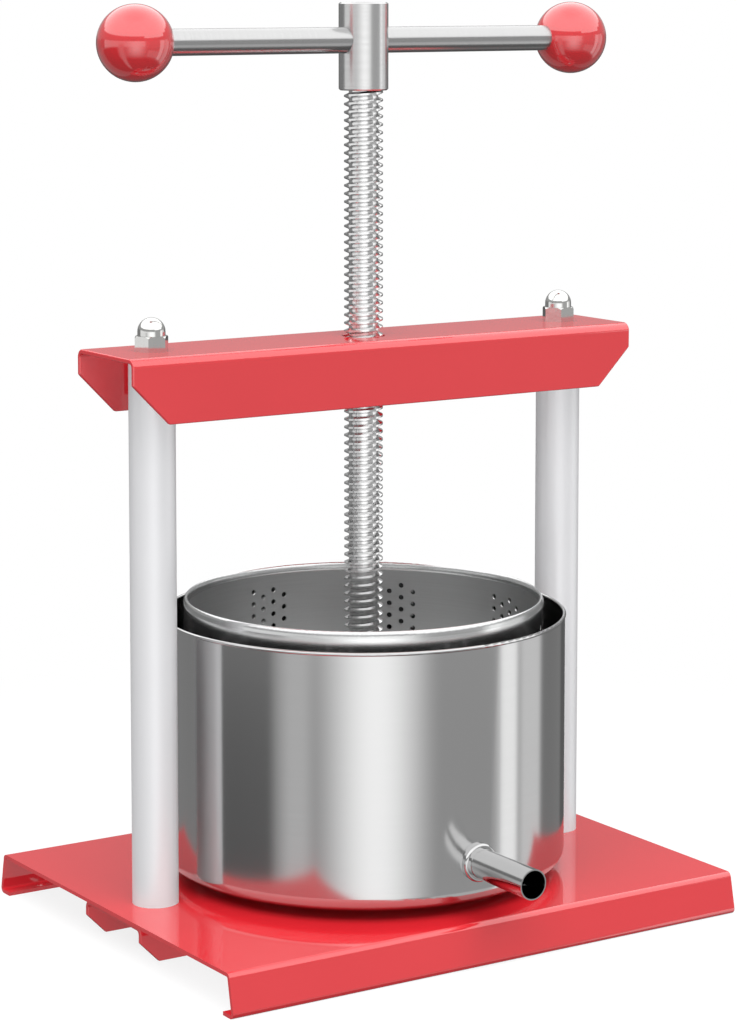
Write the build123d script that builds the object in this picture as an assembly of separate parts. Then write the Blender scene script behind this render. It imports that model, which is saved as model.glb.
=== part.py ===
from build123d import *
import math
import os

# Manual fruit press: a screw in a crossbeam on two columns presses a plate into a perforated
# basket, and the juice runs through the pot around it to a spout.
# Millimetres. The origin is on the floor below the screw's axis. +X runs along the crossbeam,
# -Y is the front, where the spout is, and +Z is up. The stored pose is partly screwed down.

# Juice pot
pot_diameter = 220.0
pot_height = 142.1
pot_sheet = 1.0
pot_edge_radius = 8.0
pot_shelf_width = 18.0  # flat ring around the pressed-down middle of its floor
pot_foot_drop = 4.6  # depth of that pressed middle, on which the pot stands
pot_foot_bend = 3.0
pot_bead_radius = 1.0
rest_gap = 0.2  # between a loose piece and what it stands on

# Spout
spout_diameter = 16.0
spout_wall = 0.7
spout_reach = 48.3  # from the pot's wall to the mouth
spout_height = 27.6  # axis above the base plate
spout_root_step = 0.25  # the tube is turned down this much where it enters the collar
spout_collar_lip = 2.25  # how far the collar stands out around the spout
spout_collar_thickness = 3.0
spout_collar_round = 1.5

# Basket
basket_gap = 11.0  # between the pot's inside and the basket's wall
basket_sheet = 1.0
basket_floor_sheet = 1.5
basket_proud = 8.3  # how far the rim stands above the pot's
curl_width = 2.8  # of the rim, across its curled edge
curl_lip = 0.2  # how far it stands out past the wall
curl_rise = 3.8  # from its widest level, where the wall ends, to its top
curl_drop = 1.6  # from that level to its lower edge inside the wall
curl_fit = 0.05  # between that edge and the wall
hole_diameter = 3.0
hole_pitch = 7.0
hole_bands = 8
hole_columns = 4
hole_top_margin = 14.0
hole_band_turn = 1.2  # in the stored pose
hole_floor_margin = 8.0
floor_hole_diameter = 4.0
floor_hole_pitch = 14.0
floor_edge_margin = 8.0

# Press plate
plate_clearance = 2.6  # to the basket's wall
plate_sheet = 3.0
plate_rim_height = 12.0
plate_bend = 5.0
socket_diameter = 36.0
socket_height = 22.0
socket_floor = 3.0
set_screw_diameter = 6.0
set_screw_key = 3.0
set_screw_key_depth = 3.0
set_screw_fit = 0.05

# Screw
screw_diameter = 21.0
thread_pitch = 4.375
thread_depth = 2.6
thread_flank_angle = 24.0
thread_clearance = 0.3
thread_length = 306.7
tip_step = 0.95  # the tip's radius is this much under the thread's root
tip_fit = 0.1
tip_end_gap = 0.3
tip_shoulder_gap = 1.0
groove_depth = 2.0
groove_width = 7.0
groove_gap = 0.5  # between the set screws' tips and the groove's floor
spigot_step = 0.45  # the spigot's radius is this much under the thread's root
spigot_length = 17.0
press_fit = 0.02
edge_chamfer = 0.8

# Handle
hub_diameter = 26.7
hub_height = 47.0
hub_above_beam = 132.3  # in the stored pose
bar_height_on_hub = 26.8
bar_diameter = 14.0
knob_diameter = 40.0
knob_reach = 141.2  # from the screw's axis to a knob's centre
knob_stud_diameter = 10.0
knob_stud_length = 18.0
knob_bore_margin = 2.0
handle_angle = 1.6  # in the stored pose, from the crossbeam's direction

# Columns, tie rods and their nuts
column_gap = 8.55  # between the pot and a column
column_diameter = 24.5
column_wall = 2.0
column_height = 290.3
plug_length = 12.0
plug_fit = 0.05
rod_diameter = 10.0
rod_clearance = 0.3
rod_below_nut = 2.5
thread_fit = 0.05
nut_across_flats = 16.0
nut_height = 8.4
nut_corner_chamfer = 0.9
washer_diameter = 21.0
washer_thickness = 2.0
cap_nut_hex_height = 8.0
cap_nut_height = 17.5
cap_nut_dome_diameter = 14.6
cap_nut_bore_depth = 13.0
cap_nut_angles = (51.0, 4.0)  # where a corner of each hexagon ended up, left and right

# Folded sheet frame
base_end_margin = 27.7  # beyond a column's axis
base_side_margin = 13.4  # beyond the pot
base_height = 22.5
base_sheet = 2.0
base_bend = 3.0
flange_splay = 4.6
lip_width = 10.6
lip_hole_diameter = 5.5
lip_hole_from_end = 21.5
beam_end_margin = 27.4
beam_width = 60.6
beam_depth = 34.6
beam_sheet = 2.5
beam_bend = 4.5
beam_end_height = 13.6  # upright part of the beam's end, above the chamfer
lower_beam_end_margin = 25.7
lower_beam_floor_gap = 1.0
lower_beam_end_height = 8.5
screw_hole_clearance = 1.0
nut_boss_diameter = 38.0
nut_boss_length = 28.0
nut_boss_chamfer = 2.0

cut_past = 1.0  # how far a cut runs past the faces that it opens

# Heights above the floor and places that follow from the sizes above
base_top = base_height
beam_web_under = base_top + column_height
beam_top = beam_web_under + beam_sheet
lower_web_top = base_top - base_sheet
lower_web_under = lower_web_top - beam_sheet
pot_bottom = base_top + rest_gap
pot_rim = base_top + pot_height
pot_shelf = pot_bottom + pot_foot_drop + pot_sheet
pot_radius = pot_diameter / 2
pot_inner_radius = pot_radius - pot_sheet
spout_axis_height = base_top + spout_height
spout_radius = spout_diameter / 2
spout_root_radius = spout_radius - spout_root_step
spout_collar_radius = spout_radius + spout_collar_lip
basket_radius = pot_inner_radius - basket_gap
basket_inner_radius = basket_radius - basket_sheet
basket_bottom = pot_shelf + rest_gap
basket_floor_top = basket_bottom + basket_floor_sheet
basket_rim_top = pot_rim + basket_proud
basket_wall_top = basket_rim_top - curl_rise
hub_bottom = beam_top + hub_above_beam
bar_axis_height = hub_bottom + bar_height_on_hub
thread_bottom = hub_bottom - thread_length
socket_top = thread_bottom - tip_shoulder_gap
plate_top = socket_top - socket_height
plate_bottom = plate_top - plate_sheet
plate_radius = basket_inner_radius - plate_clearance
tip_bottom = plate_top + socket_floor + tip_end_gap
groove_height = plate_top + (socket_height + socket_floor) / 2
screw_radius = screw_diameter / 2
thread_root_radius = screw_radius - thread_depth
tip_radius = thread_root_radius - tip_step
groove_radius = tip_radius - groove_depth
spigot_radius = thread_root_radius - spigot_step
column_x = pot_radius + column_gap + column_diameter / 2
column_places = (-column_x, column_x)
base_half_length = column_x + base_end_margin
base_half_width = pot_radius + base_side_margin
foot_half_width = base_half_width + flange_splay
lip_hole_x = base_half_length - lip_hole_from_end
lip_hole_y = foot_half_width - (lip_width + base_bend) / 2
rod_hole_radius = rod_diameter / 2 + rod_clearance
rod_bottom = lower_web_under - washer_thickness - nut_height - rod_below_nut
rod_top = beam_top + cap_nut_bore_depth - thread_fit


def upright(radius, low, high, x=0.0, y=0.0):
    """Solid cylinder along Z between two heights."""
    return Pos(x, y, low) * Cylinder(radius, high - low, align=(Align.CENTER, Align.CENTER, Align.MIN))


def ring(outer, inner, low, high, x=0.0, y=0.0):
    """Upright tube between two heights."""
    return upright(outer, low, high, x, y) - upright(inner, low - cut_past, high + cut_past, x, y)


def sheet_face(points, bends, sheet):
    """Bent strip of sheet: its outer outline with rounded bends, thickened towards its left."""
    outline = FilletPolyline(*points, radius=bends)
    return make_face(offset(outline, sheet, side=Side.LEFT).edges())


def folded(points, bend, sheet, half_length):
    """Folded sheet along X, from points of its section as (y, z)."""
    section = sheet_face(points, bend, sheet)
    return extrude(Plane.YZ * section, half_length, both=True)


def turned(points, bends, sheet):
    """Drawn sheet around Z, from points of its outer face as (radius, z)."""
    return revolve(Plane.XZ * sheet_face(points, bends, sheet), Axis.Z)


def hexagon(across_flats, low, high, angle=0.0, square_foot=False):
    """Hexagonal prism with its corners turned off at the top and, unless its foot is square, below."""
    block = extrude(RegularPolygon(across_flats / 2, 6, major_radius=False), high - low)
    blank = upright(across_flats / math.sqrt(3), 0, high - low)
    rims = blank.edges().filter_by(GeomType.CIRCLE).sort_by(Axis.Z)
    blank = chamfer(rims[-1:] if square_foot else rims, nut_corner_chamfer)
    return Pos(0, 0, low) * Rot(0, 0, angle) * (block & blank)


def thread_coil(radius, low):
    """One turn of a right-hand helix, starting on the XZ plane."""
    return Pos(0, 0, low) * Edge.make_helix(thread_pitch, thread_pitch, radius)


def threaded_bar(clearance, low, high):
    """Trapezoidal right-hand thread between two heights, with one ruled face per flank and turn.

    Any two of these lie on one helix, so that a bar with a clearance cuts the nut for a bar without.
    """
    lean = math.tan(math.radians(thread_flank_angle)) * thread_depth / 2
    crest = thread_pitch / 4 - lean + clearance
    foot = thread_pitch / 4 + lean + clearance
    tip = screw_radius + clearance
    root = tip - thread_depth
    profile = [(tip, -crest), (tip, crest), (root, foot), (root, thread_pitch - foot)]
    first = math.floor((low - thread_bottom) / thread_pitch) - 1
    last = math.ceil((high - thread_bottom) / thread_pitch) + 1
    middles = [thread_bottom + thread_pitch * turn for turn in range(first, last + 1)]
    coils = [thread_coil(radius, middle + z) for middle in middles[:-1] for radius, z in profile]
    coils.append(thread_coil(tip, middles[-1] - crest))
    faces = [Face.make_surface_from_curves(below, above) for below, above in zip(coils, coils[1:])]
    for middle, coil in ((middles[0], coils[0]), (middles[-1], coils[-1])):
        start = middle - crest
        end = start + thread_pitch
        faces.append(Face.make_surface_from_curves(coil, Edge.make_line((0, 0, start), (0, 0, end))))
        outline = [(radius, 0, middle + z) for radius, z in profile]
        outline = [(0, 0, start), *outline, (tip, 0, end), (0, 0, end)]
        faces.append(Face(Wire.make_polygon(outline, close=True)))
    return Solid(Shell(faces)) & upright(2 * tip, low, high)


def base_plate():
    """Tray with splayed flanges, floor lips and their bolt-down holes."""
    points = [
        (lip_width - foot_half_width, 0),
        (-foot_half_width, 0),
        (-base_half_width, base_top),
        (base_half_width, base_top),
        (foot_half_width, 0),
        (foot_half_width - lip_width, 0),
    ]
    plate = folded(points[::-1], base_bend, base_sheet, base_half_length)
    for x in column_places:
        plate -= upright(rod_hole_radius, 0, base_top + cut_past, x)
    for x in (-lip_hole_x, lip_hole_x):
        for y in (-lip_hole_y, lip_hole_y):
            plate -= upright(lip_hole_diameter / 2, -cut_past, base_sheet + cut_past, x, y)
    return plate


def channel(half_length, top, low, end_height):
    """Inverted channel along X with chamfered ends and holes for the tie rods."""
    half_width = beam_width / 2
    section = [(half_width, low), (half_width, top), (-half_width, top), (-half_width, low)]
    strip = folded(section, beam_bend, beam_sheet, half_length)
    chamfered = top - end_height - low
    side = [
        (-half_length, top),
        (half_length, top),
        (half_length, top - end_height),
        (half_length - chamfered, low),
        (chamfered - half_length, low),
        (-half_length, top - end_height),
    ]
    strip &= extrude(Plane.XZ * make_face(Polyline(*side, close=True)), half_width + cut_past, both=True)
    for x in column_places:
        strip -= upright(rod_hole_radius, low, top + cut_past, x)
    return strip


def crossbeam():
    """Upper channel, with the screw's clearance hole in its web."""
    beam = channel(column_x + beam_end_margin, beam_top, beam_top - beam_depth, beam_end_height)
    hole_radius = screw_radius + screw_hole_clearance
    return beam - upright(hole_radius, beam_web_under - cut_past, beam_top + cut_past)


def lower_beam():
    """Channel under the base plate, standing just clear of the floor."""
    half_length = column_x + lower_beam_end_margin
    return channel(half_length, lower_web_top, lower_beam_floor_gap, lower_beam_end_height)


def column(x):
    """Tube between the base plate and the crossbeam's web."""
    return ring(column_diameter / 2, column_diameter / 2 - column_wall, base_top, beam_web_under, x)


def column_end_plugs():
    """A plug in each end of each column, which centres it on its rod."""
    radius = column_diameter / 2 - column_wall - plug_fit
    lows = (base_top, beam_web_under - plug_length)
    places = [(x, low) for x in column_places for low in lows]
    return Compound([ring(radius, rod_hole_radius, low, low + plug_length, x) for x, low in places])


def tie_rod(x):
    """Rod through a column, from below the lower nut to inside the cap nut."""
    rod = upright(rod_diameter / 2, rod_bottom, rod_top, x)
    return chamfer(rod.edges().filter_by(GeomType.CIRCLE), edge_chamfer)


def lower_washers():
    """Washers between the lower beam and the nuts."""
    low = lower_web_under - washer_thickness
    washer = ring(washer_diameter / 2, rod_hole_radius, low, lower_web_under)
    return Compound([Pos(x, 0, 0) * washer for x in column_places])


def lower_nuts():
    """Plain nuts under the washers."""
    high = lower_web_under - washer_thickness
    nut = hexagon(nut_across_flats, high - nut_height, high)
    nut -= upright(rod_diameter / 2 + thread_fit, 0, high + cut_past)
    return Compound([Pos(x, 0, 0) * nut for x in column_places])


def cap_nut(x, angle):
    """Domed nut on the crossbeam."""
    dome_radius = cap_nut_dome_diameter / 2
    nut = hexagon(nut_across_flats, 0, cap_nut_hex_height, angle, square_foot=True)
    nut += upright(dome_radius, 0, cap_nut_height - dome_radius)
    nut += Pos(0, 0, cap_nut_height - dome_radius) * Sphere(dome_radius)
    nut -= upright(rod_diameter / 2 + thread_fit, -cut_past, cap_nut_bore_depth)
    return Pos(x, 0, beam_top) * nut


def screw_nut():
    """Threaded boss under the crossbeam's web."""
    low = beam_web_under - nut_boss_length
    boss = upright(nut_boss_diameter / 2, low, beam_web_under)
    boss = chamfer(boss.edges().filter_by(GeomType.CIRCLE).sort_by(Axis.Z)[0], nut_boss_chamfer)
    return boss - threaded_bar(thread_clearance, low - thread_pitch, beam_web_under + thread_pitch)


def press_screw():
    """Threaded bar with a grooved tip for the plate's socket and a spigot for the hub."""
    bar = threaded_bar(0.0, thread_bottom, hub_bottom)
    tip = upright(tip_radius, tip_bottom, thread_bottom)
    tip = chamfer(tip.edges().filter_by(GeomType.CIRCLE).sort_by(Axis.Z)[0], edge_chamfer)
    half_groove = groove_width / 2
    tip -= ring(2 * tip_radius, groove_radius, groove_height - half_groove, groove_height + half_groove)
    spigot = upright(spigot_radius, hub_bottom, hub_bottom + spigot_length)
    spigot = chamfer(spigot.edges().filter_by(GeomType.CIRCLE).sort_by(Axis.Z)[-1], edge_chamfer)
    return bar + tip + spigot


def on_handle(piece):
    """Turns a piece made along X to the handle's stored angle and height."""
    return Pos(0, 0, bar_axis_height) * Rot(0, 0, handle_angle) * piece


def handle_hub():
    """Cylinder on the screw's spigot, cross-bored for the bar."""
    hub = upright(hub_diameter / 2, hub_bottom, hub_bottom + hub_height)
    hub = chamfer(hub.edges().filter_by(GeomType.CIRCLE), edge_chamfer)
    bore_top = hub_bottom + spigot_length + edge_chamfer
    hub -= upright(spigot_radius + press_fit, hub_bottom - cut_past, bore_top)
    cross_bore = Cylinder(bar_diameter / 2 + press_fit, hub_diameter + 2 * cut_past)
    return hub - on_handle(Rot(0, 90, 0) * cross_bore)


def knob_seat():
    """Distance from a knob's centre to the flat that the bar's shoulder meets."""
    return math.sqrt((knob_diameter / 2) ** 2 - (bar_diameter / 2) ** 2)


def handle_bar():
    """Straight bar with a turned-down stud for each knob."""
    shoulder = knob_reach - knob_seat()
    bar = Cylinder(bar_diameter / 2, 2 * shoulder)
    bar += Cylinder(knob_stud_diameter / 2, 2 * (shoulder + knob_stud_length))
    return on_handle(Rot(0, 90, 0) * bar)


def ball_knob(side):
    """Ball with a flat and a blind bore towards the screw; side is -1 for left and 1 for right."""
    ball = Sphere(knob_diameter / 2)
    reach = knob_diameter
    ball -= Pos(-knob_seat() - reach / 2, 0, 0) * Box(reach, reach, reach)
    depth = knob_stud_length + knob_bore_margin
    bore = Rot(0, 90, 0) * Cylinder(knob_stud_diameter / 2 + thread_fit, 2 * depth)
    ball -= Pos(-knob_seat(), 0, 0) * bore
    turn = 0 if side > 0 else 180
    return on_handle(Rot(0, 0, turn) * Pos(knob_reach, 0, 0) * ball)


def press_plate():
    """Dished plate with its rim turned up."""
    rim_top = plate_bottom + plate_rim_height
    points = [(0, plate_bottom), (plate_radius, plate_bottom), (plate_radius, rim_top)]
    return turned(points, plate_bend, plate_sheet)


def set_screw_hole(radius):
    """Cross hole through the socket, along Y."""
    return Pos(0, 0, groove_height) * Rot(90, 0, 0) * Cylinder(radius, socket_diameter + 2 * cut_past)


def plate_socket():
    """Cup on the plate that holds the screw's tip."""
    cup = upright(socket_diameter / 2, plate_top, socket_top)
    cup = chamfer(cup.edges().filter_by(GeomType.CIRCLE).sort_by(Axis.Z)[-1], edge_chamfer)
    cup -= upright(tip_radius + tip_fit, plate_top + socket_floor, socket_top + cut_past)
    return cup - set_screw_hole(set_screw_diameter / 2 + set_screw_fit)


def socket_set_screws():
    """Two screws whose tips run in the groove of the screw's tip."""
    inner = groove_radius + groove_gap
    length = socket_diameter / 2 - edge_chamfer - inner
    screw = upright(set_screw_diameter / 2, 0, length)
    screw = chamfer(screw.edges().filter_by(GeomType.CIRCLE).sort_by(Axis.Z)[0], edge_chamfer)
    key = RegularPolygon(set_screw_key / 2, 6, major_radius=False)
    key = extrude(key, set_screw_key_depth + cut_past)
    screw -= Pos(0, 0, length - set_screw_key_depth) * key
    screw = Pos(0, 0, inner) * screw
    return Compound([Pos(0, 0, groove_height) * Rot(turn, 0, 0) * screw for turn in (-90, 90)])


def along_spout(radius, near, far):
    """Cylinder on the spout's axis between two distances in front of the screw's axis."""
    middle = Pos(0, -(near + far) / 2, spout_axis_height)
    return middle * Rot(90, 0, 0) * Cylinder(radius, far - near)


def juice_pot():
    """Drawn pot with a rolled rim bead, a pressed-down foot and the spout's hole."""
    foot_radius = pot_radius - pot_shelf_width
    shelf_under = pot_shelf - pot_sheet
    points = [
        (0, pot_bottom),
        (foot_radius - pot_foot_drop, pot_bottom),
        (foot_radius, shelf_under),
        (pot_radius, shelf_under),
        (pot_radius, pot_rim - pot_bead_radius),
    ]
    bends = [pot_foot_bend, pot_foot_bend, pot_edge_radius]
    pot = turned(points, bends, pot_sheet)
    pot += Pos(0, 0, pot_rim - pot_bead_radius) * Torus(pot_radius - pot_sheet / 2, pot_bead_radius)
    return pot - along_spout(spout_root_radius + press_fit, pot_inner_radius / 2, pot_diameter)


def juice_spout():
    """Tube from the pot's wall to the mouth, with a turned-down root in the collar."""
    shoulder = pot_radius + spout_collar_thickness
    mouth = pot_radius + spout_reach
    tube = along_spout(spout_radius, shoulder, mouth)
    tube += along_spout(spout_root_radius, pot_inner_radius / 2, shoulder)
    tube -= upright(pot_inner_radius, base_top, pot_rim)
    return tube - along_spout(spout_radius - spout_wall, pot_inner_radius / 2, mouth + cut_past)


def spout_collar():
    """Rounded weld ring between the pot's wall and the spout."""
    shoulder = pot_radius + spout_collar_thickness
    collar = along_spout(spout_collar_radius, pot_inner_radius / 2, shoulder)
    collar = fillet(collar.edges().filter_by(GeomType.CIRCLE).sort_by(Axis.Y)[0], spout_collar_round)
    collar -= along_spout(spout_root_radius + press_fit, 0, shoulder + cut_past)
    return collar - upright(pot_radius, base_top, pot_rim)


def basket_wall():
    """Open cylinder with bands of staggered holes."""
    wall = ring(basket_radius, basket_inner_radius, basket_bottom, basket_wall_top)
    step = math.degrees(hole_pitch / basket_radius)
    room = basket_rim_top - hole_top_margin - basket_floor_top - hole_floor_margin
    rows = int(room / hole_pitch)
    drill = Rot(0, 90, 0) * Cylinder(hole_diameter / 2, 6 * basket_sheet)
    holes = []
    for band in range(hole_bands):
        for place in range(hole_columns):
            angle = hole_band_turn + 360 * band / hole_bands + step * (place - (hole_columns - 1) / 2)
            first = basket_rim_top - hole_top_margin - hole_pitch / 2 * ((place + 1) % 2)
            for row in range(rows):
                holes.append(Rot(0, 0, angle) * Pos(basket_radius, 0, first - row * hole_pitch) * drill)
    return wall - holes


def basket_rim():
    """Inward curl, seated on the wall's top and closed down along its inside."""
    half = curl_width / 2
    upper = Pos(0, curl_rise) * Rectangle(2 * curl_width, 2 * curl_rise)
    section = (Ellipse(half, curl_rise) & upper) + (Ellipse(half, curl_drop) - upper)
    section = Pos(basket_radius + curl_lip - half, basket_wall_top) * section
    wall_room = basket_sheet + curl_fit
    wall = Pos(basket_radius, basket_wall_top - curl_drop) * Rectangle(2 * wall_room, 2 * curl_drop)
    return revolve(Plane.XZ * (section - wall), Axis.Z)


def basket_floor():
    """Perforated disc inside the foot of the wall."""
    disc = upright(basket_inner_radius - press_fit, basket_bottom, basket_floor_top)
    rings = int((basket_inner_radius - floor_edge_margin) / floor_hole_pitch)
    drills = [upright(floor_hole_diameter / 2, basket_bottom - cut_past, basket_floor_top + cut_past)]
    for ring_number in range(1, rings + 1):
        count = 6 * ring_number
        first = Pos(ring_number * floor_hole_pitch, 0, 0) * drills[0]
        drills += [Rot(0, 0, 360 * place / count) * first for place in range(count)]
    return disc - drills


pieces = {
    "base_plate": base_plate(),
    "lower_beam": lower_beam(),
    "left_column": column(-column_x),
    "right_column": column(column_x),
    "column_end_plugs": column_end_plugs(),
    "left_tie_rod": tie_rod(-column_x),
    "right_tie_rod": tie_rod(column_x),
    "lower_washers": lower_washers(),
    "lower_nuts": lower_nuts(),
    "crossbeam": crossbeam(),
    "cap_nuts": Compound([cap_nut(x, angle) for x, angle in zip(column_places, cap_nut_angles)]),
    "screw_nut": screw_nut(),
    "press_screw": press_screw(),
    "handle_hub": handle_hub(),
    "handle_bar": handle_bar(),
    "left_ball_knob": ball_knob(-1),
    "right_ball_knob": ball_knob(1),
    "press_plate": press_plate(),
    "plate_socket": plate_socket(),
    "socket_set_screws": socket_set_screws(),
    "juice_pot": juice_pot(),
    "juice_spout": juice_spout(),
    "spout_collar": spout_collar(),
    "basket_wall": basket_wall(),
    "basket_rim": basket_rim(),
    "basket_floor": basket_floor(),
}

os.makedirs("parts", exist_ok=True)
for name, piece in pieces.items():
    export_step(piece, f"parts/{name}.step")
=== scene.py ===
import math
from collections import namedtuple

import bpy
from bpy.props import FloatProperty, FloatVectorProperty, IntProperty, PointerProperty
from bpy.types import Operator, Panel, PropertyGroup
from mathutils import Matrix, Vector


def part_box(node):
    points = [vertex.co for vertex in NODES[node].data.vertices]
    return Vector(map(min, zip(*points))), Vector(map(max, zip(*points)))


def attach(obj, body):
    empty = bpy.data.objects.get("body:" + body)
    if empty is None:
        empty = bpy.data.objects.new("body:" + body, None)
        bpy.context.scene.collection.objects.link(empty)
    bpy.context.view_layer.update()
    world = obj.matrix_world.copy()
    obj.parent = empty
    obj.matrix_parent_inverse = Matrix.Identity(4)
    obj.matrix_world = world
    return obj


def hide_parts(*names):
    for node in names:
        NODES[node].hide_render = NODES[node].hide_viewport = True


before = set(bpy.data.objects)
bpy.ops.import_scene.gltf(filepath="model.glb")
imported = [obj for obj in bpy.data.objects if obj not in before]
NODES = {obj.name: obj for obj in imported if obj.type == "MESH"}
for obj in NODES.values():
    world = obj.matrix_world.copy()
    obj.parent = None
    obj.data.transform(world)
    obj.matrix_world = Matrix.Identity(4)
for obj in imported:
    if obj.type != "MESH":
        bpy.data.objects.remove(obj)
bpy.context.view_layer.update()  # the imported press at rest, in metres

bl_info = {
    "name": "Fruit press finish",
    "version": (1, 0, 0),
    "blender": (4, 5, 0),
    "location": "3D View > Sidebar > Fruit press",
    "description": "Finishes, rounded sheet edges, a weld and a studio for a manual fruit press",
    "category": "Object",
}

MM = 0.001
WHITE = (1, 1, 1, 1)
HALF_TURN = 180.0


def linear(hex_colour):
    """An sRGB hex value as a linear colour with alpha."""
    shares = [int(hex_colour[place:place + 2], 16) / 255 for place in (1, 3, 5)]
    colour = [share / 12.92 if share <= 0.04045 else ((share + 0.055) / 1.055) ** 2.4 for share in shares]
    return colour + [1.0]


def scale_for_mm(size):
    """A texture's scale for features of this size in millimetres."""
    return 1000 / size


def colour_property(name, description, hex_colour):
    """A colour that a user can change."""
    return FloatVectorProperty(
        name=name, description=description, subtype="COLOR", size=4, min=0, max=1, default=linear(hex_colour)
    )


def length_property(name, description, size_mm):
    """A length that a user can change."""
    return FloatProperty(
        name=name, description=description, unit="LENGTH", min=0, precision=5, default=size_mm * MM
    )


def brightness_property(name, description, brightness):
    """A light's brightness that a user can change; 1 is the backdrop's white."""
    return FloatProperty(name=name, description=description, min=0, default=brightness)


class FruitPressFinish(PropertyGroup):
    """Colours of the press."""

    red_coat: colour_property("Red coat", "Powder coat of the folded sheet", "#DE2A33")
    red_coat_deep: colour_property("Red coat, deep", "Powder coat where its film is thicker", "#D6242D")
    column_coat: colour_property("Column coat", "Pale satin coat of the columns", "#E6E6E8")
    column_coat_dull: colour_property("Column coat, dull", "The same where it is more matt", "#E3E3E5")
    stainless: colour_property("Stainless", "Polished sheet of the pot and spout", "#C6C6C6")
    stainless_dull: colour_property("Stainless, dull", "The same in its polishing lines", "#C1C1C1")
    basket_steel: colour_property("Basket steel", "Satin sheet of the basket and plate", "#C9CACA")
    basket_steel_dull: colour_property("Basket steel, dull", "The same in its rolling lines", "#BEBFBF")
    basket_polish: colour_property("Basket polish", "Polished outside of the basket", "#E6E7E7")
    rim_steel: colour_property("Rim steel", "Curled edge of the basket", "#D9DADA")
    rim_steel_dull: colour_property("Rim steel, dull", "The same in the roll's lines", "#CFD0D0")
    turned_steel: colour_property("Turned steel", "Hub and socket", "#D6D6D6")
    turned_steel_dull: colour_property("Turned steel, dull", "The same in the tool's rings", "#CBCBCB")
    bar_steel: colour_property("Bar steel", "Ground bar of the handle", "#BEBEBE")
    bar_steel_dull: colour_property("Bar steel, dull", "The same in the grinding lines", "#B5B5B5")
    zinc: colour_property("Zinc", "Plating of the screw", "#E9E9E9")
    zinc_dull: colour_property("Zinc, dull", "The same where it is cloudy", "#E0E0E0")
    nickel: colour_property("Nickel", "Plating of the nuts, washers and rods", "#E0E0DE")
    nickel_dull: colour_property("Nickel, dull", "The same where it is cloudy", "#D6D6D4")
    knob_red: colour_property("Knob red", "Moulded balls of the handle", "#D6212A")
    knob_red_deep: colour_property("Knob red, deep", "The balls' cloudy body", "#CD1E26")
    nylon: colour_property("Nylon", "Plugs in the columns' ends", "#1C1C1D")
    nylon_pale: colour_property("Nylon, pale", "The same on the grain's peaks", "#262627")


class FruitPressSizes(PropertyGroup):
    """Sizes of what is modelled here."""

    sheet_edge: length_property("Sheet edge", "Rounding of the coated sheet's cut edges", 0.8)
    edge_steps: IntProperty(
        name="Edge steps", description="Faces across a rounded edge", min=1, max=6, default=3
    )
    weld_leg: length_property("Weld leg", "Size of the fillet weld around the screw's nut", 3.0)
    weld_ripple: length_property("Weld ripple", "How far a ripple of the weld stands out", 0.25)
    weld_ripples: IntProperty(
        name="Weld ripples", description="Ripples of the weld around the nut", min=12, max=120, default=56
    )


class FruitPressStudio(PropertyGroup):
    """Camera, lights and floor."""

    camera_place: FloatVectorProperty(
        name="Camera place", description="Where the camera stands", subtype="TRANSLATION", size=3,
        precision=5, default=(-0.89216, -1.37589, 0.5045),
    )
    camera_yaw: FloatProperty(
        name="Camera yaw", description="Turn from the rear direction, to the left", subtype="ANGLE",
        default=math.radians(-32.96),
    )
    camera_tilt: FloatProperty(
        name="Camera tilt", description="How far the camera looks down", subtype="ANGLE",
        default=math.radians(6.036),
    )
    lens: FloatProperty(name="Lens", description="Focal length", unit="CAMERA", min=1, default=107.25)
    sensor: FloatProperty(
        name="Sensor", description="The sensor's size along the picture's longer side", unit="CAMERA", min=1,
        default=36.0,
    )
    shift_right: FloatProperty(
        name="Shift right", description="Sideways shift, as a share of the longer side", default=0.0049
    )
    shift_up: FloatProperty(
        name="Shift up", description="Upward shift, as a share of the longer side", default=-0.2011
    )
    paper: colour_property("Paper", "Floor under the press", "#F6F6F6")
    paper_shade: colour_property("Paper, shade", "The same in its grain", "#F3F3F3")
    paper_radius: length_property("Paper radius", "How far the floor reaches", 6000)
    shadow_near: length_property("Shadow, near", "The shadow is deepest up to here from the middle", 200)
    shadow_far: length_property("Shadow, far", "The floor is plain white from here on", 600)
    shadow_white: FloatProperty(
        name="Shadow white", description="Share of plain white in the floor near the press",
        subtype="FACTOR", min=0, max=1, default=0.70,
    )
    fill: brightness_property("Fill", "Even light from all around", 0.60)
    overhead: brightness_property("Overhead", "Brightness of the softbox above", 3.0)
    front: brightness_property("Front", "Brightness of the softbox in front", 0.7)


def add(tree, kind, inputs=None, **settings):
    """Adds a node with its settings; an input that is a socket is linked, and any other is set."""
    made = tree.nodes.new(kind)
    for name, value in settings.items():
        setattr(made, name, value)
    for key, value in (inputs or {}).items():
        if isinstance(value, bpy.types.NodeSocket):
            tree.links.new(value, made.inputs[key])
        else:
            made.inputs[key].default_value = value
    return made


def blank(name, values):
    """A new material, its tree, shader and coordinates, with constant values on the shader's own sockets."""
    material = bpy.data.materials.new(name)
    material.use_nodes = True
    tree = material.node_tree
    shader = tree.nodes["Principled BSDF"]
    for socket, value in values.items():
        shader.inputs[socket].default_value = value
    return material, tree, shader, add(tree, "ShaderNodeTexCoord").outputs["Object"]


def streaks(tree, place, size_mm):
    """Cloudy 0 to 1 pattern with blotches of a real size along each of three directions."""
    scale = tuple(scale_for_mm(size) for size in size_mm)
    stretched = add(tree, "ShaderNodeVectorMath", {0: place, 1: scale}, operation="MULTIPLY").outputs[0]
    return add(tree, "ShaderNodeTexNoise", {"Vector": stretched, "Scale": 1.0, "Detail": 3.0}).outputs["Fac"]


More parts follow.
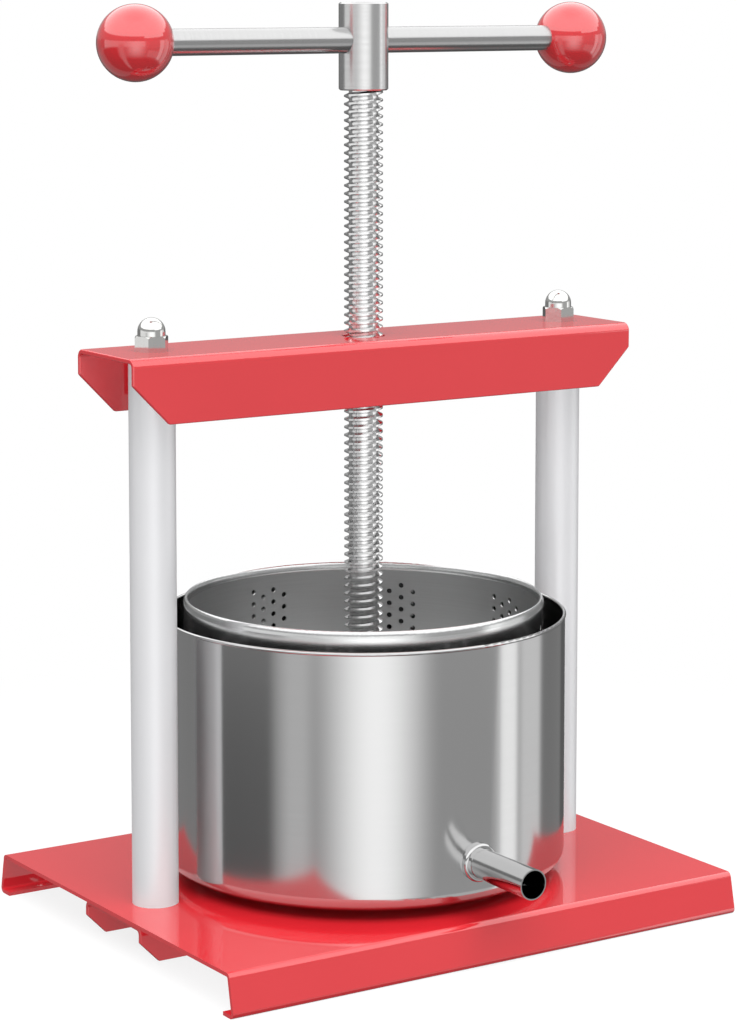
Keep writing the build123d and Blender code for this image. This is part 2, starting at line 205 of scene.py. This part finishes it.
def rings(tree, place, line_mm, drift_mm):
    """0 to 1 pattern of fine lines around the upright axis, on walls and on discs alike."""
    split = add(tree, "ShaderNodeSeparateXYZ", {0: place})
    flat = add(tree, "ShaderNodeVectorMath", {0: place, 1: (1, 1, 0)}, operation="MULTIPLY").outputs[0]
    radius = add(tree, "ShaderNodeVectorMath", {0: flat}, operation="LENGTH").outputs["Value"]
    radius_height_drift = {0: radius, 1: split.outputs["Z"], 2: split.outputs["X"]}
    section = add(tree, "ShaderNodeCombineXYZ", radius_height_drift).outputs[0]
    return streaks(tree, section, (line_mm, line_mm, drift_mm))


def dress(shader, tree, pattern, tones, roughness, relief_mm, relief=None):
    """Lets a 0 to 1 pattern drive the shader's colour and roughness, and itself or another its relief."""
    colour = add(tree, "ShaderNodeMix", {0: pattern, 6: tones[0], 7: tones[1]}, data_type="RGBA").outputs[2]
    span = {"Value": pattern, "To Min": roughness[0], "To Max": roughness[1]}
    rough = add(tree, "ShaderNodeMapRange", span).outputs["Result"]
    bump = add(tree, "ShaderNodeBump", {"Height": relief or pattern, "Distance": relief_mm * MM})
    tree.links.new(colour, shader.inputs["Base Color"])
    tree.links.new(rough, shader.inputs["Roughness"])
    tree.links.new(bump.outputs["Normal"], shader.inputs["Normal"])
    return colour, rough


def red_powder_coat(finish):
    """Polyester powder, stoved on folded sheet: wet gloss over a faint orange peel, with an uneven tone."""
    material, tree, shader, place = blank("red_powder_coat_stoved", {"IOR": 2.0})
    film = add(tree, "ShaderNodeTexNoise", {"Vector": place, "Scale": scale_for_mm(70), "Detail": 2.0})
    # the peel's real dimples are about 1 mm wide, and are drawn at 2.5 mm so that they show
    peel = add(tree, "ShaderNodeTexNoise", {"Vector": place, "Scale": scale_for_mm(2.5), "Detail": 1.0})
    dress(
        shader, tree, film.outputs["Fac"], (finish.red_coat, finish.red_coat_deep), roughness=(0.04, 0.06),
        relief_mm=0.002, relief=peel.outputs["Fac"],
    )
    return material


def satin_column_coat(finish):
    """Pale satin powder with a little metal flake, on drawn tube: soft broad bands and a fine dry grain."""
    material, tree, shader, place = blank("pale_satin_powder_on_tube", {"Metallic": 0.2, "IOR": 1.5})
    film = add(tree, "ShaderNodeTexNoise", {"Vector": place, "Scale": scale_for_mm(25), "Detail": 1.0})
    # the grain's real size is about 0.3 mm, and it is drawn at 0.8 mm so that it shows
    grain = add(tree, "ShaderNodeTexNoise", {"Vector": place, "Scale": scale_for_mm(0.8), "Detail": 2.0})
    dress(
        shader, tree, film.outputs["Fac"], (finish.column_coat, finish.column_coat_dull),
        roughness=(0.36, 0.40), relief_mm=0.002, relief=grain.outputs["Fac"],
    )
    return material


def polished_stainless(finish):
    """Drawn 18/8 sheet, polished on the lathe: clear reflections, drawn out upright by faint rings."""
    material, tree, shader, place = blank(
        "stainless_18_8_lathe_polished", {"Metallic": 1.0, "Anisotropic": 0.45, "Anisotropic Rotation": 0.25}
    )
    # polishing lines are about 0.1 mm apart, and are drawn at 0.5 mm so that they show
    lines = rings(tree, place, line_mm=0.5, drift_mm=60)
    tones = (finish.stainless, finish.stainless_dull)
    dress(shader, tree, lines, tones, roughness=(0.12, 0.16), relief_mm=0.0002)
    tangent = add(tree, "ShaderNodeTangent", direction_type="RADIAL", axis="Z")
    tree.links.new(tangent.outputs[0], shader.inputs["Tangent"])
    return material


def drawn_tube(finish):
    """Drawn 18/8 tube, which lies along Y: sharp dark and pale bands along it, with fine drawing lines."""
    material, tree, shader, place = blank("stainless_18_8_drawn_tube", {"Metallic": 1.0})
    # drawing lines are about 0.1 mm apart, and are drawn at 0.4 mm so that they show
    lines = streaks(tree, place, size_mm=(0.4, 80, 0.4))
    tones = (finish.stainless, finish.stainless_dull)
    dress(shader, tree, lines, tones, roughness=(0.05, 0.09), relief_mm=0.0006)
    return material


def basket_sheet(finish):
    """Rolled sheet, polished on the outside only: even satin grey inside and clearer reflections outside."""
    material, tree, shader, place = blank("stainless_18_8_polished_outside", {"Metallic": 1.0})
    # rolling lines are about 0.2 mm apart, and are drawn at 0.9 mm so that they show
    lines = rings(tree, place, line_mm=0.9, drift_mm=35)
    tones = (finish.basket_steel, finish.basket_steel_dull)
    grey, satin = dress(shader, tree, lines, tones, roughness=(0.32, 0.40), relief_mm=0.0005)
    outward = add(tree, "ShaderNodeVectorMath", {0: place, 1: (1, 1, 0)}, operation="MULTIPLY").outputs[0]
    normal = add(tree, "ShaderNodeTexCoord").outputs["Normal"]
    facing = add(tree, "ShaderNodeVectorMath", {0: outward, 1: normal}, operation="DOT_PRODUCT")
    signs = {0: facing.outputs["Value"], 1: 0.0}
    outside = add(tree, "ShaderNodeMath", signs, operation="GREATER_THAN").outputs[0]
    tone = add(tree, "ShaderNodeMix", {0: outside, 6: grey, 7: finish.basket_polish}, data_type="RGBA")
    polish_roughness = 0.20
    rough = add(tree, "ShaderNodeMix", {0: outside, 2: satin, 3: polish_roughness})
    tree.links.new(tone.outputs[2], shader.inputs["Base Color"])
    tree.links.new(rough.outputs[0], shader.inputs["Roughness"])
    return material


def rolled_rim(finish):
    """Edge curled over with a polished roll: the basket's brightest line, with soft reflections."""
    material, tree, shader, place = blank("stainless_18_8_rolled_edge", {"Metallic": 1.0})
    # the roll's lines are about 0.1 mm apart, and are drawn at 0.6 mm so that they show
    lines = rings(tree, place, line_mm=0.6, drift_mm=40)
    tones = (finish.rim_steel, finish.rim_steel_dull)
    dress(shader, tree, lines, tones, roughness=(0.18, 0.24), relief_mm=0.0005)
    return material


def satin_stainless(finish):
    """Rolled sheet with its mill finish: even grey with a soft sheen and faint lines around it."""
    material, tree, shader, place = blank("stainless_18_8_mill_finish", {"Metallic": 1.0})
    # rolling lines are about 0.2 mm apart, and are drawn at 0.9 mm so that they show
    lines = rings(tree, place, line_mm=0.9, drift_mm=35)
    tones = (finish.basket_steel, finish.basket_steel_dull)
    dress(shader, tree, lines, tones, roughness=(0.32, 0.40), relief_mm=0.001)
    return material


def turned_steel(finish):
    """Bright mild steel, turned and wiped clean: soft bands with the tool's fine rings."""
    material, tree, shader, place = blank("bright_steel_turned", {"Metallic": 1.0})
    # the tool's feed is about 0.15 mm, and is drawn at 0.6 mm so that it shows
    feed = rings(tree, place, line_mm=0.6, drift_mm=25)
    tones = (finish.turned_steel, finish.turned_steel_dull)
    dress(shader, tree, feed, tones, roughness=(0.20, 0.30), relief_mm=0.002)
    return material


def plated_thread(finish):
    """Rolled thread with bright zinc plating: very pale, so that its grooves stay light."""
    material, tree, shader, place = blank("zinc_plate_on_rolled_thread", {"Metallic": 1.0})
    clouds = add(tree, "ShaderNodeTexNoise", {"Vector": place, "Scale": scale_for_mm(4), "Detail": 2.0})
    tones = (finish.zinc, finish.zinc_dull)
    dress(shader, tree, clouds.outputs["Fac"], tones, roughness=(0.12, 0.18), relief_mm=0.001)
    return material


def ground_bar_steel(finish):
    """Centreless ground bar: a satin sheen with grinding lines round the bar, which lies along X."""
    material, tree, shader, place = blank("bright_steel_ground_bar", {"Metallic": 1.0})
    # grinding lines are about 0.1 mm apart, and are drawn at 0.6 mm so that they show
    lines = streaks(tree, place, size_mm=(0.6, 30, 30))
    tones = (finish.bar_steel, finish.bar_steel_dull)
    dress(shader, tree, lines, tones, roughness=(0.18, 0.26), relief_mm=0.001)
    return material


def bright_nickel(finish):
    """Nickel plate on pressed nuts: mirror bright, slightly warm, with a soft ripple from the pressing."""
    material, tree, shader, place = blank("nickel_plate_bright", {"Metallic": 1.0})
    ripple = add(tree, "ShaderNodeTexNoise", {"Vector": place, "Scale": scale_for_mm(5), "Detail": 2.0})
    tones = (finish.nickel, finish.nickel_dull)
    dress(shader, tree, ripple.outputs["Fac"], tones, roughness=(0.07, 0.14), relief_mm=0.02)
    return material


def moulded_ball(finish):
    """Phenolic ball, moulded and tumbled: clear red under a hard wet gloss, with a barely cloudy body."""
    gloss = {"IOR": 1.7, "Coat Weight": 1.0, "Coat Roughness": 0.02, "Coat IOR": 1.7}
    material, tree, shader, place = blank("phenolic_ball_tumbled", gloss)
    body = add(tree, "ShaderNodeTexNoise", {"Vector": place, "Scale": scale_for_mm(14), "Detail": 2.0})
    tones = (finish.knob_red, finish.knob_red_deep)
    dress(shader, tree, body.outputs["Fac"], tones, roughness=(0.05, 0.09), relief_mm=0.004)
    return material


def moulded_nylon(finish):
    """Injection moulded nylon: dull black with a fine spark-eroded grain."""
    material, tree, shader, place = blank("nylon_moulded", {"IOR": 1.53})
    grain = add(tree, "ShaderNodeTexNoise", {"Vector": place, "Scale": scale_for_mm(1), "Detail": 2.0})
    tones = (finish.nylon, finish.nylon_pale)
    dress(shader, tree, grain.outputs["Fac"], tones, roughness=(0.5, 0.65), relief_mm=0.01)
    return material


def paint(material, *nodes):
    """Gives CAD nodes one material."""
    for name in nodes:
        mesh = NODES[name].data
        mesh.materials.clear()
        mesh.materials.append(material)


def deselect():
    """Leaves object mode with nothing selected."""
    if bpy.context.object and bpy.context.object.mode != "OBJECT":
        bpy.ops.object.mode_set(mode="OBJECT")
    bpy.ops.object.select_all(action="DESELECT")


def pick(piece):
    """Makes one object the selected and active one."""
    deselect()
    piece.select_set(True)
    bpy.context.view_layer.objects.active = piece


SHEET_MERGE = 0.002 * MM  # corners of the CAD mesh's triangles closer than this are one
SHEET_FLAT = math.radians(0.5)  # triangles that bend less than this make one flat face
SHEET_SHARP = math.radians(35)  # edges that bend more than this are rounded


def soft_edged_copy(node, name, width, steps):
    """A copy of a CAD node's mesh, merged, with its sharp edges rounded."""
    piece = bpy.data.objects.new(name, NODES[node].data.copy())
    bpy.context.scene.collection.objects.link(piece)
    pick(piece)
    bpy.ops.object.mode_set(mode="EDIT")
    bpy.ops.mesh.select_all(action="SELECT")
    bpy.ops.mesh.remove_doubles(threshold=SHEET_MERGE)
    bpy.ops.mesh.dissolve_limited(angle_limit=SHEET_FLAT)
    bpy.ops.object.mode_set(mode="OBJECT")
    bpy.ops.object.modifier_add(type="BEVEL")
    rounding = piece.modifiers[-1]
    rounding.width = width
    rounding.segments = steps
    rounding.limit_method = "ANGLE"
    rounding.angle_limit = SHEET_SHARP
    rounding.harden_normals = True
    bpy.ops.object.modifier_apply(modifier=rounding.name)
    return piece


class FRUITPRESS_OT_frame_sheet(Operator):
    """Round the cut edges of the folded sheet, and coat it and the screw's nut red"""

    bl_idname = "fruitpress.frame_sheet"
    bl_label = "Folded sheet"

    def execute(self, context):
        sizes = context.scene.fruit_press_sizes
        coat = red_powder_coat(context.scene.fruit_press_finish)
        for node in ("base_plate", "lower_beam", "crossbeam"):
            piece = soft_edged_copy(node, f"coated_{node}", sizes.sheet_edge, sizes.edge_steps)
            piece.data.materials.clear()
            piece.data.materials.append(coat)
            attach(piece, "frame")
            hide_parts(node)
            # its bounced light would turn the columns' ends pink, which the photograph doesn't show
            piece.visible_diffuse = False
        paint(coat, "screw_nut")
        return {"FINISHED"}


# The weld's section is a round, cut off by the boss and by the plate. These are shares of the weld's leg.
WELD_ROUND = 0.7  # the round's radius
WELD_MIDDLE = 1 / 4  # from the boss and from the plate to the round's middle
WELD_FOOT = 1 / 8  # from the boss and from the plate to where the ripples start
STEPS_PER_RIPPLE = 3  # the first one of them stands out
WELD_MERGE = 0.01 * MM
WELD_SMOOTH = math.radians(60)


def plain_weld(name, radius, plate_under, leg, steps):
    """Smooth fillet weld in the corner between an upright boss and the underside of a plate."""
    deselect()
    middle = (radius + WELD_MIDDLE * leg, 0, plate_under - WELD_MIDDLE * leg)
    bpy.ops.mesh.primitive_circle_add(
        vertices=20, radius=WELD_ROUND * leg, fill_type="NGON", location=middle, rotation=(math.pi / 2, 0, 0)
    )
    bead = bpy.context.object
    bead.name = name
    bpy.ops.object.transform_apply(location=True, rotation=True, scale=True)
    bpy.ops.object.mode_set(mode="EDIT")
    for corner, outward in (((radius, 0, 0), (-1, 0, 0)), ((0, 0, plate_under), (0, 0, 1))):
        bpy.ops.mesh.select_all(action="SELECT")
        bpy.ops.mesh.bisect(plane_co=corner, plane_no=outward, clear_outer=True)
    bpy.ops.mesh.select_all(action="SELECT")
    bpy.ops.mesh.delete(type="ONLY_FACE")
    bpy.ops.mesh.select_all(action="SELECT")
    bpy.ops.mesh.spin(steps=steps, angle=math.tau, center=(0, 0, 0), axis=(0, 0, 1))
    bpy.ops.mesh.select_all(action="SELECT")
    bpy.ops.mesh.remove_doubles(threshold=WELD_MERGE)
    bpy.ops.mesh.normals_make_consistent(inside=False)
    bpy.ops.mesh.select_all(action="DESELECT")
    bpy.ops.object.mode_set(mode="OBJECT")
    return bead


def rippled_weld(name, radius, plate_under, leg, ripple, ripples):
    """The same weld with even ripples around its face."""
    steps = STEPS_PER_RIPPLE * ripples
    bead = plain_weld(name, radius, plate_under, leg, steps)
    foot = WELD_FOOT * leg
    for point in bead.data.vertices:
        step = round(math.atan2(point.co.y, point.co.x) / math.tau * steps)
        on_face = math.hypot(point.co.x, point.co.y) > radius + foot and point.co.z < plate_under - foot
        point.select = on_face and step % STEPS_PER_RIPPLE == 0
    bpy.ops.object.mode_set(mode="EDIT")
    bpy.ops.transform.shrink_fatten(value=ripple)
    bpy.ops.object.mode_set(mode="OBJECT")
    bpy.ops.object.shade_smooth_by_angle(angle=WELD_SMOOTH)
    return bead


class FRUITPRESS_OT_nut_weld(Operator):
    """Weld the screw's nut to the underside of the crossbeam"""

    bl_idname = "fruitpress.nut_weld"
    bl_label = "Nut weld"

    def execute(self, context):
        sizes = context.scene.fruit_press_sizes
        radius, _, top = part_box("screw_nut")[1]
        bead = rippled_weld("nut_weld", radius, top, sizes.weld_leg, sizes.weld_ripple, sizes.weld_ripples)
        bead.data.materials.append(bpy.data.materials["red_powder_coat_stoved"])
        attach(bead, "frame")
        return {"FINISHED"}


class FRUITPRESS_OT_columns(Operator):
    """Finish the columns, their plugs and rods, and all small fasteners"""

    bl_idname = "fruitpress.columns"
    bl_label = "Columns and fasteners"

    def execute(self, context):
        finish = context.scene.fruit_press_finish
        paint(satin_column_coat(finish), "left_column", "right_column")
        paint(moulded_nylon(finish), "column_end_plugs")
        paint(
            bright_nickel(finish),
            "cap_nuts", "lower_nuts", "lower_washers", "left_tie_rod", "right_tie_rod", "socket_set_screws",
        )
        return {"FINISHED"}


class FRUITPRESS_OT_screw(Operator):
    """Finish the screw, its socket, the hub, the bar and the knobs"""

    bl_idname = "fruitpress.screw"
    bl_label = "Screw and handle"

    def execute(self, context):
        finish = context.scene.fruit_press_finish
        paint(plated_thread(finish), "press_screw")
        paint(turned_steel(finish), "handle_hub", "plate_socket")
        paint(ground_bar_steel(finish), "handle_bar")
        paint(moulded_ball(finish), "left_ball_knob", "right_ball_knob")
        return {"FINISHED"}


class FRUITPRESS_OT_vessels(Operator):
    """Finish the pot, the spout, the basket and the press plate"""

    bl_idname = "fruitpress.vessels"
    bl_label = "Pot and basket"

    def execute(self, context):
        finish = context.scene.fruit_press_finish
        paint(polished_stainless(finish), "juice_pot")
        paint(drawn_tube(finish), "juice_spout", "spout_collar")
        paint(basket_sheet(finish), "basket_wall")
        paint(rolled_rim(finish), "basket_rim")
        paint(satin_stainless(finish), "basket_floor", "press_plate")
        return {"FINISHED"}


def studio_paper(studio):
    """Seamless white paper that takes the shadow near the press and fades to plain white further out."""
    material, tree, shader, place = blank("studio_paper", {"Roughness": 0.8})
    grain = add(tree, "ShaderNodeTexNoise", {"Vector": place, "Scale": scale_for_mm(3), "Detail": 2.0})
    tones = {0: grain.outputs["Fac"], 6: studio.paper, 7: studio.paper_shade}
    tone = add(tree, "ShaderNodeMix", tones, data_type="RGBA").outputs[2]
    tree.links.new(tone, shader.inputs["Base Color"])
    fade = {
        "Value": add(tree, "ShaderNodeVectorMath", {0: place}, operation="LENGTH").outputs["Value"],
        "From Min": studio.shadow_near,
        "From Max": studio.shadow_far,
        "To Min": studio.shadow_white,
    }
    white_share = add(tree, "ShaderNodeMapRange", fade, interpolation_type="SMOOTHSTEP").outputs["Result"]
    seen = add(tree, "ShaderNodeLightPath").outputs["Is Camera Ray"]
    share = add(tree, "ShaderNodeMath", {0: seen, 1: white_share}, operation="MULTIPLY").outputs[0]
    white = add(tree, "ShaderNodeEmission", {"Color": WHITE, "Strength": 1.0}).outputs[0]
    mixed = add(tree, "ShaderNodeMixShader", {0: share, 1: shader.outputs[0], 2: white}).outputs[0]
    tree.links.new(mixed, tree.nodes["Material Output"].inputs["Surface"])
    return material


# What polished metal sees around it, laid over the white backdrop from first to last. Azimuth is counted to
# the right from the camera's side and elevation from the horizon, all in degrees; 1 is the backdrop's white.
Card = namedtuple("Card", "azimuth half_width elevation half_height softness brightness")
CARDS = {
    "floor_cloth": Card(0, 200, -90, 80, 5, 0.42),
    "floor_below": Card(0, 200, -90, 50, 12, 0.15),
    "dark_cloth_left": Card(-81, 29, -90, 80, 8, 0.13),
    "window_left": Card(-38, 8, -40, 38, 10, 0.70),
    "screen_right": Card(59, 25, -3, 10, 4, 0.48),
    "paper_right": Card(66, 22, -28, 9, 4, 0.68),
    "window_right": Card(90, 7, -12, 26, 5, 1.40),
    "curtain_right": Card(110, 10, -12, 26, 6, 0.90),
    "grey_wall_left": Card(-132, 22, -30, 60, 8, 0.30),
    "grey_wall_high": Card(-126, 28, 0, 10, 4, 0.25),
    "grey_wall_right": Card(137, 16, -30, 60, 6, 0.26),
    "softbox_front": Card(7, 20, 2, 34, 38, 1.58),
    "cloth_rear": Card(180, 28, -45, 48, 6, 0.12),
    "dim_wall": Card(0, 200, 13, 7, 3, 0.42),
    "softbox_overhead": Card(0, 200, 90, 70, 3, 1.7),
    "ceiling": Card(0, 200, 90, 22, 30, 1.45),
    "softbox_side": Card(66, 34, 18, 4, 2, 1.7),
    "wall_rear": Card(180, 65, 13, 10, 4, 0.40),
}


def card_mask(tree, azimuth, elevation, card):
    """1 inside a card and 0 outside it, with soft edges."""
    inside = []
    for angle, middle, half in (
        (azimuth, card.azimuth, card.half_width),
        (elevation, card.elevation, card.half_height),
    ):
        turned = add(tree, "ShaderNodeMath", {0: angle, 1: middle}, operation="SUBTRACT").outputs[0]
        away = add(tree, "ShaderNodeMath", {0: turned, 1: HALF_TURN}, operation="PINGPONG").outputs[0]
        edge = {"Value": away, "From Min": half + card.softness / 2, "From Max": half - card.softness / 2}
        mask = add(tree, "ShaderNodeMapRange", edge, interpolation_type="SMOOTHSTEP")
        inside.append(mask.outputs["Result"])
    return add(tree, "ShaderNodeMath", {0: inside[0], 1: inside[1]}, operation="MULTIPLY").outputs[0]


def studio_world(studio, sight, right):
    """White for the camera, an even fill for diffuse light, and the studio's cards for what is polished."""
    world = bpy.data.worlds.new("white_studio")
    bpy.context.scene.world = world
    world.use_nodes = True
    tree = world.node_tree
    tree.nodes.clear()
    direction = add(tree, "ShaderNodeTexCoord").outputs["Generated"]
    sideways = add(tree, "ShaderNodeVectorMath", {0: direction, 1: right}, operation="DOT_PRODUCT")
    forwards = add(tree, "ShaderNodeVectorMath", {0: direction, 1: -sight}, operation="DOT_PRODUCT")
    ground = {0: sideways.outputs["Value"], 1: forwards.outputs["Value"]}
    azimuth = add(tree, "ShaderNodeMath", ground, operation="ARCTAN2").outputs[0]
    azimuth = add(tree, "ShaderNodeMath", {0: azimuth}, operation="DEGREES").outputs[0]
    height = add(tree, "ShaderNodeSeparateXYZ", {0: direction}).outputs["Z"]
    elevation = add(tree, "ShaderNodeMath", {0: height}, operation="ARCSINE").outputs[0]
    elevation = add(tree, "ShaderNodeMath", {0: elevation}, operation="DEGREES").outputs[0]
    reflected = add(tree, "ShaderNodeValue").outputs[0]
    reflected.default_value = 1.0
    for card in CARDS.values():
        layer = {0: card_mask(tree, azimuth, elevation, card), 2: reflected, 3: card.brightness}
        reflected = add(tree, "ShaderNodeMix", layer).outputs[0]
    path = add(tree, "ShaderNodeLightPath").outputs
    mirrored = {0: path["Is Glossy Ray"], 1: path["Is Transmission Ray"]}
    polished = add(tree, "ShaderNodeMath", mirrored, operation="ADD").outputs[0]
    bounced = add(tree, "ShaderNodeMix", {0: polished, 2: studio.fill, 3: reflected}).outputs[0]
    strength = add(tree, "ShaderNodeMix", {0: path["Is Camera Ray"], 2: bounced, 3: 1.0}).outputs[0]
    background = add(tree, "ShaderNodeBackground", {"Color": WHITE, "Strength": strength}).outputs[0]
    output = add(tree, "ShaderNodeOutputWorld")
    tree.links.new(background, output.inputs["Surface"])


# Where the lamps stand from the screw's axis, and their sizes, in metres.
Lamp = namedtuple("Lamp", "height towards_camera to_right width depth")
OVERHEAD_LAMP = Lamp(height=2.6, towards_camera=1.0, to_right=0.0, width=3.75, depth=3.2)
FRONT_LAMP = Lamp(height=0.9, towards_camera=2.1, to_right=1.5, width=1.6, depth=2.0)
LAMP_AIM = Vector((0, 0, 0.2))


def softbox(name, lamp, sight, right, brightness):
    """A rectangular area light, unseen in reflections; its power follows from its size and brightness."""
    place = Vector((0, 0, lamp.height)) - lamp.towards_camera * sight + lamp.to_right * right
    bpy.ops.object.light_add(type="AREA", location=place)
    light = bpy.context.object
    light.name = name
    light.rotation_euler = (LAMP_AIM - place).to_track_quat("-Z", "Y").to_euler()
    light.data.shape = "RECTANGLE"
    light.data.size = lamp.width
    light.data.size_y = lamp.depth
    light.data.energy = brightness * math.pi * lamp.width * lamp.depth
    light.visible_glossy = False


def studio_floor(studio):
    """A round sheet of paper that takes the shadow, unseen in reflections and by bounced light."""
    deselect()
    bpy.ops.mesh.primitive_circle_add(
        vertices=96, radius=studio.paper_radius, fill_type="NGON", location=(0, 0, 0)
    )
    floor = bpy.context.object
    floor.name = "studio_floor"
    floor.data.materials.append(studio_paper(studio))
    floor.visible_glossy = False
    floor.visible_diffuse = False


def studio_camera(studio):
    """The camera, where the photograph was taken from."""
    deselect()
    bpy.ops.object.camera_add(
        location=studio.camera_place, rotation=(math.pi / 2 - studio.camera_tilt, 0, studio.camera_yaw)
    )
    camera = bpy.context.object
    camera.name = "photo_camera"
    camera.data.lens = studio.lens
    camera.data.sensor_width = studio.sensor
    camera.data.shift_x = studio.shift_right
    camera.data.shift_y = studio.shift_up
    camera.data.dof.use_dof = False
    bpy.context.scene.camera = camera


class FRUITPRESS_OT_studio(Operator):
    """Build the floor, the world, the lights and the camera"""

    bl_idname = "fruitpress.studio"
    bl_label = "Studio"

    def execute(self, context):
        studio = context.scene.fruit_press_studio
        studio_floor(studio)
        sight = Vector((math.sin(-studio.camera_yaw), math.cos(studio.camera_yaw), 0))
        right = Vector((sight.y, -sight.x, 0))
        studio_world(studio, sight, right)
        softbox("softbox_overhead", OVERHEAD_LAMP, sight, right, studio.overhead)
        softbox("softbox_front", FRONT_LAMP, sight, right, studio.front)
        studio_camera(studio)
        context.scene.view_settings.view_transform = "Standard"
        return {"FINISHED"}


class FRUITPRESS_PT_sidebar(Panel):
    """Lists the steps and the settings"""

    bl_idname = "FRUITPRESS_PT_sidebar"
    bl_label = "Fruit press"
    bl_space_type = "VIEW_3D"
    bl_region_type = "UI"
    bl_category = "Fruit press"

    def draw(self, context):
        for step in STEPS:
            self.layout.operator(step.bl_idname)
        for group in SETTINGS:
            box = self.layout.box()
            settings = getattr(context.scene, group)
            for name in settings.__annotations__:
                box.prop(settings, name)


SETTINGS = {
    "fruit_press_finish": FruitPressFinish,
    "fruit_press_sizes": FruitPressSizes,
    "fruit_press_studio": FruitPressStudio,
}
STEPS = (
    FRUITPRESS_OT_frame_sheet,
    FRUITPRESS_OT_nut_weld,
    FRUITPRESS_OT_columns,
    FRUITPRESS_OT_screw,
    FRUITPRESS_OT_vessels,
    FRUITPRESS_OT_studio,
)


def register():
    """Registers the settings, the steps and the panel."""
    for name, group in SETTINGS.items():
        bpy.utils.register_class(group)
        setattr(bpy.types.Scene, name, PointerProperty(type=group))
    for step in STEPS:
        bpy.utils.register_class(step)
    bpy.utils.register_class(FRUITPRESS_PT_sidebar)


def unregister():
    """Removes the panel, the steps and the settings."""
    bpy.utils.unregister_class(FRUITPRESS_PT_sidebar)
    for step in reversed(STEPS):
        bpy.utils.unregister_class(step)
    for name, group in SETTINGS.items():
        delattr(bpy.types.Scene, name)
        bpy.utils.unregister_class(group)


def main():
    """Runs every step."""
    register()
    bpy.ops.fruitpress.frame_sheet()
    bpy.ops.fruitpress.nut_weld()
    bpy.ops.fruitpress.columns()
    bpy.ops.fruitpress.screw()
    bpy.ops.fruitpress.vessels()
    bpy.ops.fruitpress.studio()


if __name__ == "__main__":
    main()
